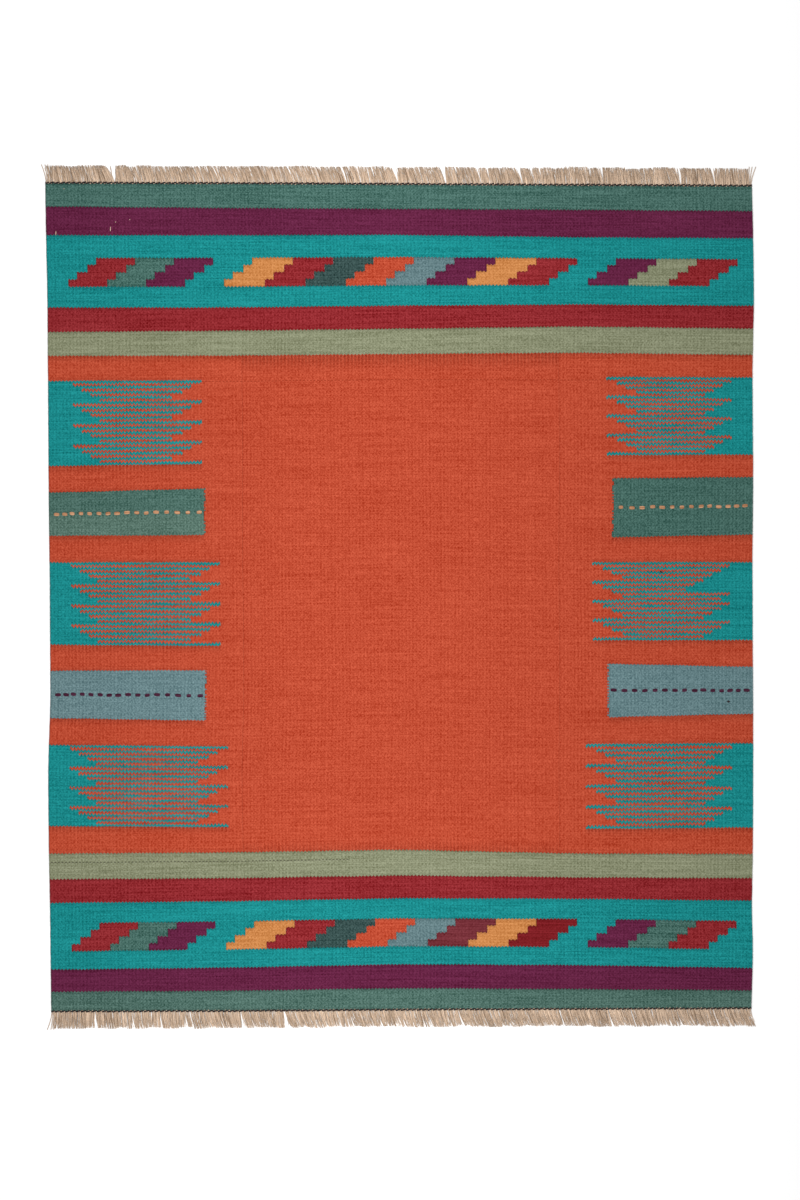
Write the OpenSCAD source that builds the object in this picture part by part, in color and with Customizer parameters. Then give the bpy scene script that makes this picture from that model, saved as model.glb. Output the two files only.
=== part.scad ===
// Flat-woven wool rug (kilim), lying flat on the floor.
//
// Undyed warp yarns run from fringe to fringe. Each colour area is its own piece of weft, a flat
// sleeve beaten down over the warps it covers. Its sides turn round a warp, so two neighbours meet
// in a narrow slit, and its ends butt against the next colour. A dark twined cord locks each end.
//
// +Y points to the head end, +X to the right of a person who stands at the foot, and +Z up from
// the floor. The origin is on the floor at the middle of the rug. Places across the rug are
// counted in warps, because a colour can only change between two of them.

/* [Warp] */
// Distance from one warp yarn to the next
warp_pitch = 4.25; // [3.5:0.05:5.2]
// Width of one warp yarn, pressed flat by the wefts
warp_w = 2.2; // [1.6:0.1:2.7]
// Thickness of one warp yarn
warp_t = 1.4; // [1:0.1:2]
// Yarns held side by side in each selvedge
selvedge_yarns = 3; // [2:1:4]
// Room beside each selvedge yarn
selvedge_gap = 0.2; // [0.1:0.05:0.25]
// Length of the fringe at the head end
head_fringe = 44; // [20:1:90]
// Length of the fringe at the foot end
foot_fringe = 44; // [20:1:90]
// How much shorter the shortest fringe yarn is than the longest
fringe_ragged = 7; // [0:0.5:15]

/* [Weft] */
// Thickness of the weft over the warps, and of the weft under them
weft_t = 0.8; // [0.5:0.1:1.5]
// Room between the last warp of an area and the weft that turns round it
turn_gap = 0.125; // [0.05:0.025:0.15]
// Width of the slit between two colours that lie side by side
slit_w = 0.4; // [0.2:0.05:0.5]

/* [Twined end cords] */
// Depth of the dark cord across each end
twining_h = 4; // [2.5:0.5:8]
// How far the dark cord stands above the cloth
twining_proud = 0.4; // [0:0.1:1]
// Warps held by one turn of the dark cord
twining_warps = 3; // [2:1:5]
// Room between a warp and the cord where it crosses itself between two groups of warps
twining_gap = 0.225; // [0.1:0.025:0.25]

/* [Head bands] */
// Green band beside the head cord
head_green_h = 60; // [30:1:90]
// Purple band
head_purple_h = 65; // [30:1:90]
// Turquoise band that holds the stepped blocks
head_turquoise_h = 169; // [135:1:230]
// Red band
head_red_h = 55; // [30:1:90]
// Sage band beside the field
head_sage_h = 61; // [30:1:90]
// Turquoise between the purple band and the stepped blocks
head_block_gap = 53; // [30:1:60]

/* [Foot bands] */
// Sage band beside the field
foot_sage_h = 60; // [30:1:90]
// Red band
foot_red_h = 54; // [30:1:90]
// Turquoise band that holds the stepped blocks
foot_turquoise_h = 160; // [132:1:230]
// Purple band
foot_purple_h = 56; // [30:1:90]
// Green band beside the foot cord
foot_green_h = 49; // [30:1:90]
// Turquoise between the red band and the stepped blocks
foot_block_gap = 49; // [30:1:60]

/* [Stepped blocks] */
// Height of one step
block_step_h = 16.8; // [12:0.2:20.5]
// Steps in a block
block_steps = 4; // [3:1:4]
// Width of a block in the left, the middle and the right group, in warps
block_w = [22, 23, 23]; // [18:1:28]
// How far the head-side step leans to the right of the foot-side step, in warps
block_lean = 16; // [8:1:20]
// Turquoise left of the left group and right of the top step of the right group, in warps
block_margin = [12, 9]; // [6:1:16]
// Turquoise between the outer and the middle group of blocks, in warps
group_gap = 22; // [10:1:24]

/* [Combs] */
// Fingers of turquoise in a comb
comb_fingers = 17; // [9:4:21]
// Height of one finger in each left comb, from the head down
left_finger_h = [6.24, 5.97, 5.86]; // [4:0.01:8]
// Height of one finger in each right comb
right_finger_h = [5.73, 5.68, 6.15]; // [4:0.01:8]
// Reach of the longest turquoise fingers of the left combs, in warps
left_reach = [87, 97, 102]; // [60:1:120]
// Reach of the longest turquoise fingers of the right combs, in warps
right_reach = [83, 91, 95]; // [60:1:120]
// How much each turquoise finger of a group is shorter than the one before, in warps
finger_step = 5.67; // [3:0.01:8]
// Turquoise left beside the selvedge by the deepest orange finger of the left combs, in warps
left_root = [14, 12, 12]; // [8:1:16]
// The same for the right combs
right_root = [12, 13, 12]; // [8:1:16]
// How much each orange finger of a group is shallower than the one before, in warps
root_step = 5; // [3:1:6]

/* [Tabs] */
// Height of the left tabs: green, then slate
left_tab_h = [107, 117]; // [80:1:150]
// Height of the right tabs
right_tab_h = [138, 121.5]; // [80:0.5:150]
// Reach of the left tabs, in warps
left_tab_w = [89, 89]; // [60:1:120]
// Reach of the right tabs, in warps
right_tab_w = [80, 83]; // [60:1:120]
// Distance from one stitch to the next
stitch_pitch = 23; // [16:1:30]
// Length of a stitch
stitch_l = 13; // [6:0.5:14]
// Width of a stitch
stitch_w = 7.5; // [3:0.5:8]
// How far a stitch stands on the tab
stitch_t = 0.8; // [0.4:0.1:1.5]

/* [Orange between the side motifs] */
// Orange above each left motif: comb, tab, comb, tab, comb
left_gaps = [59, 62.5, 64, 62.5, 64]; // [30:0.5:90]
// Orange above each right motif
right_gaps = [54, 53, 65, 59, 68.5]; // [30:0.5:90]
// Least orange below the last motif
last_gap = 58; // [30:1:90]

/* [Hidden] */

GREEN = "#4b8070";
PURPLE = "#66204a";
TURQUOISE = "#1f9c98";
RED = "#93202c";
SAGE = "#8f9a78";
ORANGE = "#c8502f";
GOLD = "#dd9248";
DARK_GREEN = "#2f5f57";
SLATE = "#5f8a94";
MAROON = "#6b2a34";
DARK_RED = "#7c1a22";
UNDYED = "#c9b398";
BLACK = "#2a2422";
PEACH = "#e59a63";

// Block names and colours from left to right: three, then eight, then three.
HEAD_BLOCKS = [
    ["left_red", RED], ["left_green", GREEN], ["left_purple", PURPLE],
    ["middle_gold_1", GOLD], ["middle_red_1", RED], ["middle_dark_green", DARK_GREEN],
    ["middle_orange", ORANGE], ["middle_slate", SLATE], ["middle_purple", PURPLE],
    ["middle_gold_2", GOLD], ["middle_red_2", RED],
    ["right_purple", PURPLE], ["right_sage", SAGE], ["right_red", RED]
];
FOOT_BLOCKS = [
    ["left_red", RED], ["left_green", GREEN], ["left_purple", PURPLE],
    ["middle_gold_1", GOLD], ["middle_red", RED], ["middle_dark_green", DARK_GREEN],
    ["middle_orange", ORANGE], ["middle_slate", SLATE], ["middle_maroon", MAROON],
    ["middle_gold_2", GOLD], ["middle_dark_red", DARK_RED],
    ["right_purple", PURPLE], ["right_green", GREEN], ["right_red", RED]
];
GROUP_BLOCKS = [3, 8, 3];

function block_node(end, block) = str(end, "_block_", block[0]);

BANDS = [
    ["head_green_band", GREEN], ["head_purple_band", PURPLE], ["head_turquoise_band", TURQUOISE],
    ["head_red_band", RED], ["head_sage_band", SAGE], ["orange_field", ORANGE],
    ["foot_sage_band", SAGE], ["foot_red_band", RED], ["foot_turquoise_band", TURQUOISE],
    ["foot_purple_band", PURPLE], ["foot_green_band", GREEN]
];
COMBS = ["comb_1", "comb_2", "comb_3"];
TABS = [["green_tab", GREEN, PEACH], ["slate_tab", SLATE, PURPLE]];
SIDES = ["left", "right"];

// The row of stepped blocks sets how many warp spaces the rug has, an even number
function group_w(group) = GROUP_BLOCKS[group] * block_w[group];
function group_from(group) =
    group == 0 ? block_margin[0] : group_from(group - 1) + group_w(group - 1) + group_gap;
block_row_w = group_from(2) + group_w(2) + block_lean + block_margin[1];
warp_count = 2 * ceil(block_row_w / 2);

// Heights through the cloth
warp_z = weft_t + warp_t / 2;
cloth_t = 2 * weft_t + warp_t;
twining_t = cloth_t + twining_proud;

// Yarn that passes between two warps: a weft's turn on each side of a slit, or a crossing cord
turn_t = (warp_pitch - warp_w - slit_w) / 2 - turn_gap;
twining_cross_w = warp_pitch - warp_w - 2 * twining_gap;

// Places from head to foot. A side holds comb, tab, comb, tab and comb, each below its gap.
comb_lines = 2 * comb_fingers - 1;
left_motif_h = [
    comb_lines * left_finger_h[0], left_tab_h[0], comb_lines * left_finger_h[1], left_tab_h[1],
    comb_lines * left_finger_h[2]
];
right_motif_h = [
    comb_lines * right_finger_h[0], right_tab_h[0], comb_lines * right_finger_h[1],
    right_tab_h[1], comb_lines * right_finger_h[2]
];
function sum(v, n) = n <= 0 ? 0 : v[n - 1] + sum(v, n - 1);
left_stack_h = sum(left_gaps, 5) + sum(left_motif_h, 5);
right_stack_h = sum(right_gaps, 5) + sum(right_motif_h, 5);
field_h = max(left_stack_h, right_stack_h) + last_gap;
field_band = 5;
band_h = [
    head_green_h, head_purple_h, head_turquoise_h, head_red_h, head_sage_h, field_h,
    foot_sage_h, foot_red_h, foot_turquoise_h, foot_purple_h, foot_green_h
];
woven_l = sum(band_h, len(band_h)) + 2 * twining_h;
total_l = head_fringe + woven_l + foot_fringe;
head_edge = total_l / 2 - head_fringe;
foot_edge = head_edge - woven_l;
function band_top(i) = head_edge - twining_h - sum(band_h, i);
function motif_top(gaps, heights, i) = band_top(field_band) - sum(gaps, i + 1) - sum(heights, i);

// Place of the gap between warps n - 1 and n
function warp_line(n) = (n - warp_count / 2) * warp_pitch;

// Corners down one edge of a piece. A row is [top, bottom, warp line], and the edge moves to the
// right by shift. Only the rows at which the edge moves sideways add corners.
function edge_corners(rows, shift) = let (n = len(rows)) concat(
    [[warp_line(rows[0][2]) + shift, rows[0][0]]],
    [for (i = [0 : 1 : n - 2]) if (rows[i][2] != rows[i + 1][2])
        each [for (k = [i, i + 1]) [warp_line(rows[k][2]) + shift, rows[i][1]]]],
    [[warp_line(rows[n - 1][2]) + shift, rows[n - 1][1]]]
);
function reversed(v) = [for (i = [len(v) - 1 : -1 : 0]) v[i]];

// Outline between a left and a right edge, both taken in by inset
module outline(edges, inset) {
    polygon(concat(edge_corners(edges[0], inset), reversed(edge_corners(edges[1], -inset))));
}

// A piece of weft: a flat sleeve with one wide tunnel, in which its warps lie side by side
module woven(edges, openings = []) {
    difference() {
        linear_extrude(cloth_t)
            difference() {
                outline(edges, slit_w / 2);
                for (o = openings) outline(o, -slit_w / 2);
            }
        translate([0, 0, weft_t])
            linear_extrude(warp_t)
                difference() {
                    outline(edges, slit_w / 2 + turn_t);
                    for (o = openings) outline(o, -slit_w / 2 - turn_t);
                }
    }
}

// The two edges of a rectangle between two warp lines
function strip(top, bottom, from, to) = [[[top, bottom, from]], [[top, bottom, to]]];

// Stepped blocks. Step 0 is on the foot side.
function lean_at(step) = round(step * block_lean / (block_steps - 1));
function block_rows(top, from) = [
    for (k = [block_steps - 1 : -1 : 0]) let (row_top = top - (block_steps - 1 - k) * block_step_h)
        [row_top, row_top - block_step_h, from + lean_at(k)]
];
function block_edges(top, from, width) = [block_rows(top, from), block_rows(top, from + width)];
function first_block(group) =
    group == 0 ? 0 : first_block(group - 1) + GROUP_BLOCKS[group - 1];
function group_of(i) = i < first_block(1) ? 0 : i < first_block(2) ? 1 : 2;
function block_from(i) = let (group = group_of(i))
    group_from(group) + (i - first_block(group)) * block_w[group];
head_block_top = band_top(2) - head_block_gap;
foot_block_top = band_top(8) - foot_block_gap;
function block_openings(top) = [
    for (group = [0 : len(GROUP_BLOCKS) - 1]) block_edges(top, group_from(group), group_w(group))
];

// Combs. Even lines are turquoise fingers and odd lines are orange ones, in groups of four. The
// second right comb counts its orange fingers in groups of six and two before it falls in step.
GROUP = 4;
SLIPPED = [0, 1, 2, 3, 4, 5, 0, 1];
function orange_place(finger, slips) =
    slips && finger < len(SLIPPED) ? SLIPPED[finger] : finger % GROUP;
function comb_line(i, reach, root, slips) =
    i % 2 == 0 ? reach - round((i / 2 % GROUP) * finger_step)
    : root + orange_place((i - 1) / 2, slips) * root_step;
function comb_rows(top, finger_h, reach, root, slips) = [
    for (i = [0 : comb_lines - 1])
        [top - i * finger_h, top - (i + 1) * finger_h, comb_line(i, reach, root, slips)]
];
function left_comb_rows(n) = comb_rows(
    motif_top(left_gaps, left_motif_h, 2 * n), left_finger_h[n], left_reach[n], left_root[n], false
);
function right_comb_rows(n) = comb_rows(
    motif_top(right_gaps, right_motif_h, 2 * n), right_finger_h[n], right_reach[n],
    right_root[n], n == 1
);

// Tabs. Tab n is motif 2 n + 1 of its side.
function left_tab_rows(n) = let (top = motif_top(left_gaps, left_motif_h, 2 * n + 1))
    [[top, top - left_tab_h[n], left_tab_w[n]]];
function right_tab_rows(n) = let (top = motif_top(right_gaps, right_motif_h, 2 * n + 1))
    [[top, top - right_tab_h[n], right_tab_w[n]]];

// Rows counted from the right selvedge, counted from the left one instead
function from_right(rows) = [for (r = rows) [r[0], r[1], warp_count - r[2]]];
function side_edges(side, rows) = side == "left"
    ? [[[rows[0][0], rows[len(rows) - 1][1], 0]], rows]
    : [from_right(rows), [[rows[0][0], rows[len(rows) - 1][1], warp_count]]];
function comb_edges(side, n) =
    side_edges(side, side == "left" ? left_comb_rows(n) : right_comb_rows(n));
function tab_edges(side, n) =
    side_edges(side, side == "left" ? left_tab_rows(n) : right_tab_rows(n));

// The field's edge along one side: selvedge, comb, selvedge, tab and so on down to the last gap
function gap_row(above, below) = [above, below, 0];
function field_rows(motifs) = concat(
    [gap_row(band_top(field_band), motifs[0][0][0])],
    [for (i = [0 : len(motifs) - 1]) each concat(
        motifs[i],
        [gap_row(
            motifs[i][len(motifs[i]) - 1][1],
            i < len(motifs) - 1 ? motifs[i + 1][0][0] : band_top(field_band + 1)
        )]
    )]
);
field_edges = [
    field_rows([left_comb_rows(0), left_tab_rows(0), left_comb_rows(1), left_tab_rows(1),
                left_comb_rows(2)]),
    from_right(field_rows([right_comb_rows(0), right_tab_rows(0), right_comb_rows(1),
                           right_tab_rows(1), right_comb_rows(2)]))
];

// Warp yarns. Ends are cut a little unevenly, except in the selvedges, whose yarns fill two warp
// spaces between the weft's turn and the twined cord's first crossing.
SELVEDGE_SPACES = 2;
selvedge_from = slit_w / 2 + turn_t;
selvedge_to = SELVEDGE_SPACES * warp_pitch - twining_cross_w / 2;
selvedge_pitch = (selvedge_to - selvedge_from - selvedge_gap) / selvedge_yarns;
function trim_at(i, seed) = fringe_ragged * (0.5 + 0.5 * sin(i * 47 + seed) * cos(i * 13));

module yarn(x, width, head_trim, foot_trim) {
    head_end = total_l / 2 - head_trim;
    facet = 180 / 8;
    translate([x, head_end, warp_z])
        rotate([90, 0, 0])
            linear_extrude(head_end + total_l / 2 - foot_trim)
                polygon([for (k = [0 : 7])
                    [width * cos((2 * k + 1) * facet), warp_t * sin((2 * k + 1) * facet)]
                    / (2 * cos(facet))]);
}

module warp_yarns() {
    color(UNDYED)
        for (i = [SELVEDGE_SPACES : warp_count - SELVEDGE_SPACES - 1])
            yarn(warp_line(i + 0.5), warp_w, trim_at(i, 0), trim_at(i, 90));
}

module selvedge_yarns_at(side) {
    middle = (warp_line(0) + (selvedge_from + selvedge_to) / 2) * (side == "left" ? 1 : -1);
    color(UNDYED)
        for (i = [0 : selvedge_yarns - 1])
            yarn(middle + (i - (selvedge_yarns - 1) / 2) * selvedge_pitch,
                 selvedge_pitch - selvedge_gap, 0, 0);
}

// Two dark yarns that pass over and under each group of warps, and cross between the groups. The
// selvedge yarns at each side are a group of their own, and the last group takes any warps left over.
twining_groups = floor((warp_count - 2 * SELVEDGE_SPACES) / twining_warps);
crossings = concat(
    [0],
    [for (g = [0 : twining_groups - 1]) SELVEDGE_SPACES + g * twining_warps],
    [warp_count - SELVEDGE_SPACES, warp_count]
);

module twining(top) {
    color(BLACK)
        translate([0, top, 0])
            rotate([90, 0, 0])
                linear_extrude(twining_h)
                    difference() {
                        translate([warp_line(0), 0]) square([warp_count * warp_pitch, twining_t]);
                        for (g = [0 : len(crossings) - 2])
                            translate([warp_line(crossings[g]) + twining_cross_w / 2, weft_t])
                                square([
                                    (crossings[g + 1] - crossings[g]) * warp_pitch - twining_cross_w,
                                    warp_t
                                ]);
                    }
}

module band(i) {
    openings = i == 2 ? block_openings(head_block_top)
        : i == 8 ? block_openings(foot_block_top) : [];
    edges = i == field_band ? field_edges
        : strip(band_top(i), band_top(i + 1), 0, warp_count);
    color(BANDS[i][1]) woven(edges, openings);
}

module block(blocks, i, top) {
    color(blocks[i][1]) woven(block_edges(top, block_from(i), block_w[group_of(i)]));
}

module comb(side, n) {
    color(TURQUOISE) woven(comb_edges(side, n));
}

module tab(side, n) {
    color(TABS[n][1]) woven(tab_edges(side, n));
}

// Floats of an extra yarn along the middle of a tab
module tab_stitches(side, n) {
    edges = tab_edges(side, n);
    row = edges[side == "left" ? 1 : 0][0];
    from = warp_line(edges[0][0][2]);
    tab_w = warp_line(edges[1][0][2]) - from;
    count = floor(tab_w / stitch_pitch);
    first = from + (tab_w - (count - 1) * stitch_pitch) / 2;
    color(TABS[n][2])
        for (i = [0 : count - 1])
            translate([first + i * stitch_pitch, (row[0] + row[1]) / 2, cloth_t])
                linear_extrude(stitch_t) {
                    square([stitch_l - stitch_w, stitch_w], center = true);
                    for (end = [-1, 1])
                        translate([end * (stitch_l - stitch_w) / 2, 0])
                            circle(d = stitch_w, $fn = 24);
                }
}

warp_yarns();
selvedge_yarns_at("left");  // left_selvedge_yarns
selvedge_yarns_at("right");  // right_selvedge_yarns
twining(head_edge);  // head_twining
twining(foot_edge + twining_h);  // foot_twining
for (i = [0 : len(BANDS) - 1])
    band(i);
for (side = SIDES, n = [0 : len(COMBS) - 1])
    comb(side, n);
for (side = SIDES, n = [0 : len(TABS) - 1])
    tab(side, n);
for (side = SIDES, n = [0 : len(TABS) - 1])
    tab_stitches(side, n);
for (i = [0 : len(HEAD_BLOCKS) - 1])
    block(HEAD_BLOCKS, i, head_block_top);
for (i = [0 : len(FOOT_BLOCKS) - 1])
    block(FOOT_BLOCKS, i, foot_block_top);
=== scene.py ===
import bpy
import numpy as np
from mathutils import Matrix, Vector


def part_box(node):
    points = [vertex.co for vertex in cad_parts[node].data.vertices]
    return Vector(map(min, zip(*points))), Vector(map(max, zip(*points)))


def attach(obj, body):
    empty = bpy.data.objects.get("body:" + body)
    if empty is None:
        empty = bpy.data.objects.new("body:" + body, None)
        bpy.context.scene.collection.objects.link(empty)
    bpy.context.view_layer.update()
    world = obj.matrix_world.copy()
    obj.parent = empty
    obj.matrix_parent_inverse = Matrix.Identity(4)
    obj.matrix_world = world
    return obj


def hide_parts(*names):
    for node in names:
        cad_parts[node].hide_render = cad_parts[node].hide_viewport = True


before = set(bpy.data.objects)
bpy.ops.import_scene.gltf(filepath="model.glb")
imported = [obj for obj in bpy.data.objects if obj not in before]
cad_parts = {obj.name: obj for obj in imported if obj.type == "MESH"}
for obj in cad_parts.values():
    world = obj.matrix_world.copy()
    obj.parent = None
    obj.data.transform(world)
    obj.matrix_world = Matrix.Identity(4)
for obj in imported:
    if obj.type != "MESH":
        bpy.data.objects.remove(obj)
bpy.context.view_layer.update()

# ---------------------------------------------------------------------------- camera, floor, light
# The rug lies on a plain white studio floor and is looked at from straight above, through a long
# lens that keeps its outline square. A white sky lights it evenly, a long strip light hangs over
# its middle, and one soft slanting light gives the ribs of the weave a bright and a dark side.
VIEW_LENGTH = 2.8854
VIEW_CENTRE_Y = -0.0072
LENS_MM = 100
SENSOR_MM = 36
SKY = 0.52
SUN_ENERGY = 0.69 * np.pi / 2.4
SUN_WIDTH = np.radians(25)
SUN_TILT = (np.radians(34), 0, np.radians(32))
STRIP_POWER = 33
STRIP_SIZE = (0.4, 7.0)
STRIP_PLACE = (-0.12, 0, 1.25)
FLOOR_HALF = 40.0
FLOOR_Z = -0.0002

camera = bpy.data.objects.new("camera", bpy.data.cameras.new("camera"))
camera.data.lens = LENS_MM
camera.data.sensor_width = SENSOR_MM
camera.location = (0, VIEW_CENTRE_Y, VIEW_LENGTH * LENS_MM / SENSOR_MM)
bpy.context.scene.collection.objects.link(camera)
bpy.context.scene.camera = camera
bpy.context.scene.view_settings.view_transform = "Standard"


def linear(hex_colour):
    """sRGB hex to linear red, green, blue and 1: c / 12.92 where c is small, and otherwise
    ((c + 0.055) / 1.055) to the power of 2.4."""
    c = np.array([int(hex_colour[i : i + 2], 16) for i in (1, 3, 5)]) / 255
    return (*np.where(c < 0.04045, c / 12.92, ((c + 0.055) / 1.055) ** 2.4), 1.0)


def add_node(tree, kind, inputs=(), **settings):
    """Adds one shader node. Each input is a plain value or the output of another node."""
    made = tree.nodes.new(kind)
    for key, value in settings.items():
        setattr(made, key, value)
    for socket, value in dict(inputs).items():
        if isinstance(value, bpy.types.NodeSocket):
            tree.links.new(value, made.inputs[socket])
        else:
            made.inputs[socket].default_value = value
    return made


def new_tree(owner):
    """Empty node tree of a material or of the world."""
    owner.use_nodes = True
    owner.node_tree.nodes.clear()
    return owner.node_tree


# Matt white studio paper: no gloss, so the floor round the rug stays even.
floor_paper = bpy.data.materials.new("matt_white_studio_paper")
tree = new_tree(floor_paper)
shader = add_node(
    tree,
    "ShaderNodeBsdfPrincipled",
    {"Base Color": (0.99, 0.99, 0.99, 1), "Roughness": 0.95, "Specular IOR Level": 0.0},
)
add_node(tree, "ShaderNodeOutputMaterial", {"Surface": shader.outputs["BSDF"]})

floor_mesh = bpy.data.meshes.new("floor")
floor_mesh.from_pydata(
    [(x * FLOOR_HALF, y * FLOOR_HALF, FLOOR_Z) for x, y in ((-1, -1), (1, -1), (1, 1), (-1, 1))],
    [],
    [(0, 1, 2, 3)],
)
floor_mesh.materials.append(floor_paper)
floor = bpy.data.objects.new("floor", floor_mesh)
bpy.context.scene.collection.objects.link(floor)

sky = bpy.data.worlds.new("sky")
bpy.context.scene.world = sky
tree = new_tree(sky)
glow = add_node(tree, "ShaderNodeBackground", {"Color": (1, 1, 1, 1), "Strength": SKY})
add_node(tree, "ShaderNodeOutputWorld", {"Surface": glow.outputs["Background"]})

sun = bpy.data.objects.new("sun", bpy.data.lights.new("sun", "SUN"))
sun.data.energy = SUN_ENERGY
sun.data.angle = SUN_WIDTH
sun.rotation_euler = SUN_TILT
bpy.context.scene.collection.objects.link(sun)

strip_light = bpy.data.objects.new("strip_light", bpy.data.lights.new("strip_light", "AREA"))
strip_light.data.shape = "RECTANGLE"
strip_light.data.size, strip_light.data.size_y = STRIP_SIZE
strip_light.data.energy = STRIP_POWER
strip_light.location = STRIP_PLACE
strip_light.visible_camera = False
bpy.context.scene.collection.objects.link(strip_light)

# ---------------------------------------------------------------------------- bands of weft
# Plain bands of hand-spun wool weft run from selvedge to selvedge, five at each end of the rug.
# The weft goes over and under single warps and is beaten down until it hides them, so the cloth
# has a rib over each warp, and two colours meet in a line of small teeth, one over each warp.
# Sizes from here on are in millimetres, and heights on the cloth are from its flat top.
WARP_PITCH = 4.25
CLOTH_T = 3.0
RIB_TOP = 0.10
RIB_VALLEY = -0.45
TOP_UNEVEN = 0.16
SEAM_DIP = -0.06
SLIT_DIP = -0.35
SLIT_HALF = 0.25
SELVEDGE_TOP = 2.1
SELVEDGE_FOOT = 0.9
SELVEDGE_UNEVEN = 0.5
COURSE = 8.5
BAND_ROW = 9
# Teeth: how far a colour line steps to each side over the warps, and at most what share of a row.
TOOTH = 1.7
TOOTH_SHARE = 0.42
COMB_TOOTH = 2.8
COMB_TOOTH_UNEVEN = 0.18
# A line of weft has a long and a short wave, both larger in the combs. Warps bow sideways a little.
LONG_WAVE = 0.65
SHORT_WAVE = 0.45
WAVE_IN_BANDS = 0.45
MORE_WAVE_IN_COMBS = 0.50
BOW = 5
LIFT = 0.22


def node_lines(node):
    """Head-side and foot-side line of a node of the model."""
    low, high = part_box(node)
    return high[1] * 1000, low[1] * 1000


def node_warps(node):
    """Warp lines at the left and right of a node, counted from the left selvedge."""
    low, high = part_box(node)
    return tuple(int(round(x * 1000 / WARP_PITCH + WARPS / 2)) for x in (low[0], high[0]))


low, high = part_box("head_green_band")
WARPS = int(round((high[0] - low[0]) * 1000 / WARP_PITCH))
HEAD_EDGE = node_lines("head_twining")[0]
FOOT_EDGE = node_lines("foot_twining")[1]
HEAD_BANDS = [
    "head_green_band", "head_purple_band", "head_turquoise_band", "head_red_band",
    "head_sage_band",
]
FOOT_BANDS = [
    "foot_sage_band", "foot_red_band", "foot_turquoise_band", "foot_purple_band",
    "foot_green_band",
]

# A hand-beaten weft wanders. For each line where colours meet: how far it lies toward the foot of
# its straight place, in millimetres, at five warps from the left selvedge to the right one.
HEAD_PUSH = [
    (-1, 0, 2, 4, 6),
    (-6, -2.5, 0, 2, 5),
    (-2, -2, -3, 3, 5),
    (3, 3, -1.5, -4.5, -1),
    (7, 4, -1, -6.5, -1.5),
    (3, 2.5, -1.5, -4.5, 1),
]
FOOT_PUSH = [
    (3, 0, -6.5, 3, 4),
    (4.5, 2, -4.5, 0, 2),
    (7.5, 3.5, -4, -3, 2),
    (8, 3, -5, -3, 4),
    (5, 3, -3.5, -1, 2),
    (1, 0, -3, -5, -7),
]
# The same for the head and foot side of each comb and tab, at its selvedge and at its tips.
SIDE_MOTIFS = ["comb_1", "green_tab", "comb_2", "slate_tab", "comb_3"]
LEFT_PUSH = [
    (4.5, 3), (3, -3), (4.5, -7), (1, -0.5), (1, 1),
    (2, 5), (2, 0.5), (-1, 5.5), (-1, 3), (1, 3.5),
]
RIGHT_PUSH = [
    (1, -0.5), (-3, -1), (-2, 2), (-1.5, 7), (-0.5, 0),
    (-0.5, 0), (5.5, -4.5), (-4, 6.5), (-2, 1), (-2, 1.5),
]
# Place of the two selvedges, in millimetres from the middle: they wander in and out a little.
LEFT_SELVEDGE = [
    (997, -852.5), (890, -851), (715, -847), (475, -845.5), (235, -844), (30, -841.5),
    (-250, -840), (-415, -845.5), (-585, -844), (-775, -840.5), (-997, -838),
]
RIGHT_SELVEDGE = [
    (997, 845.5), (890, 848.5), (715, 851), (535, 847), (280, 849), (90, 847),
    (-320, 849), (-585, 848.5), (-745, 845.5), (-840, 848.5), (-997, 844.5),
]

LINE_Y = np.arange(-1100, 1101.0)
LINE_U = np.arange(-20, WARPS + 20.5, 0.5)


def eased(values, width):
    """Values smoothed by a raised cosine of that width, with the ends held."""
    window = np.hanning(width)
    padded = np.pad(values, width // 2, mode="edge")
    return np.convolve(padded, window / window.sum(), mode="valid")[: len(values)]


def down_the_rug(points, width):
    """Straight runs between (y, value) points, then eased, for each millimetre of the rug."""
    y, value = np.array(sorted(points)).T
    return eased(np.interp(LINE_Y, y, value), width)


head_line_y = [HEAD_EDGE] + [node_lines(band)[1] for band in HEAD_BANDS]
foot_line_y = [node_lines(band)[0] for band in FOOT_BANDS] + [FOOT_EDGE]
side_line_y = {
    side: [y for motif in SIDE_MOTIFS for y in node_lines(side + "_" + motif)]
    for side in ("left", "right")
}
push_tables = []
for station in range(5):
    points = [(y, push[station]) for y, push in zip(head_line_y, HEAD_PUSH)]
    points += [(y, push[station]) for y, push in zip(foot_line_y, FOOT_PUSH)]
    if station < 2:
        points += [(y, push[station]) for y, push in zip(side_line_y["left"], LEFT_PUSH)]
    if station > 2:
        points += [(y, push[4 - station]) for y, push in zip(side_line_y["right"], RIGHT_PUSH)]
    push_tables.append(down_the_rug(points, 25))
station_u = np.linspace(0, WARPS, 5)
station_weights = [
    eased(np.interp(LINE_U, station_u, np.eye(5)[station]), 61) for station in range(5)
]
left_edge = down_the_rug(LEFT_SELVEDGE, 121)
right_edge = down_the_rug(RIGHT_SELVEDGE, 121)


def chance(number, salt):
    """A fixed number from 0 to 1 for each number: the fraction of a large sine."""
    return np.mod(np.sin(number * 12.9898 + salt * 78.233) * 43758.5453, 1)


def in_a_comb(u, v, beyond=-0.5):
    """1 inside the height of a comb on its own side of the rug, fading to 0 toward the middle.
    The comb's height is stretched by beyond at its head and at its foot."""
    inside = np.zeros(np.broadcast(u, v).shape)
    for side, depth in (("left", u), ("right", WARPS - u)):
        for motif in ("comb_1", "comb_2", "comb_3"):
            top, foot = node_lines(side + "_" + motif)
            rows = (v < top + beyond) & (v > foot - beyond)
            inside += rows * np.clip((108 - depth) / 6, 0, 1)
    return inside


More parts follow.
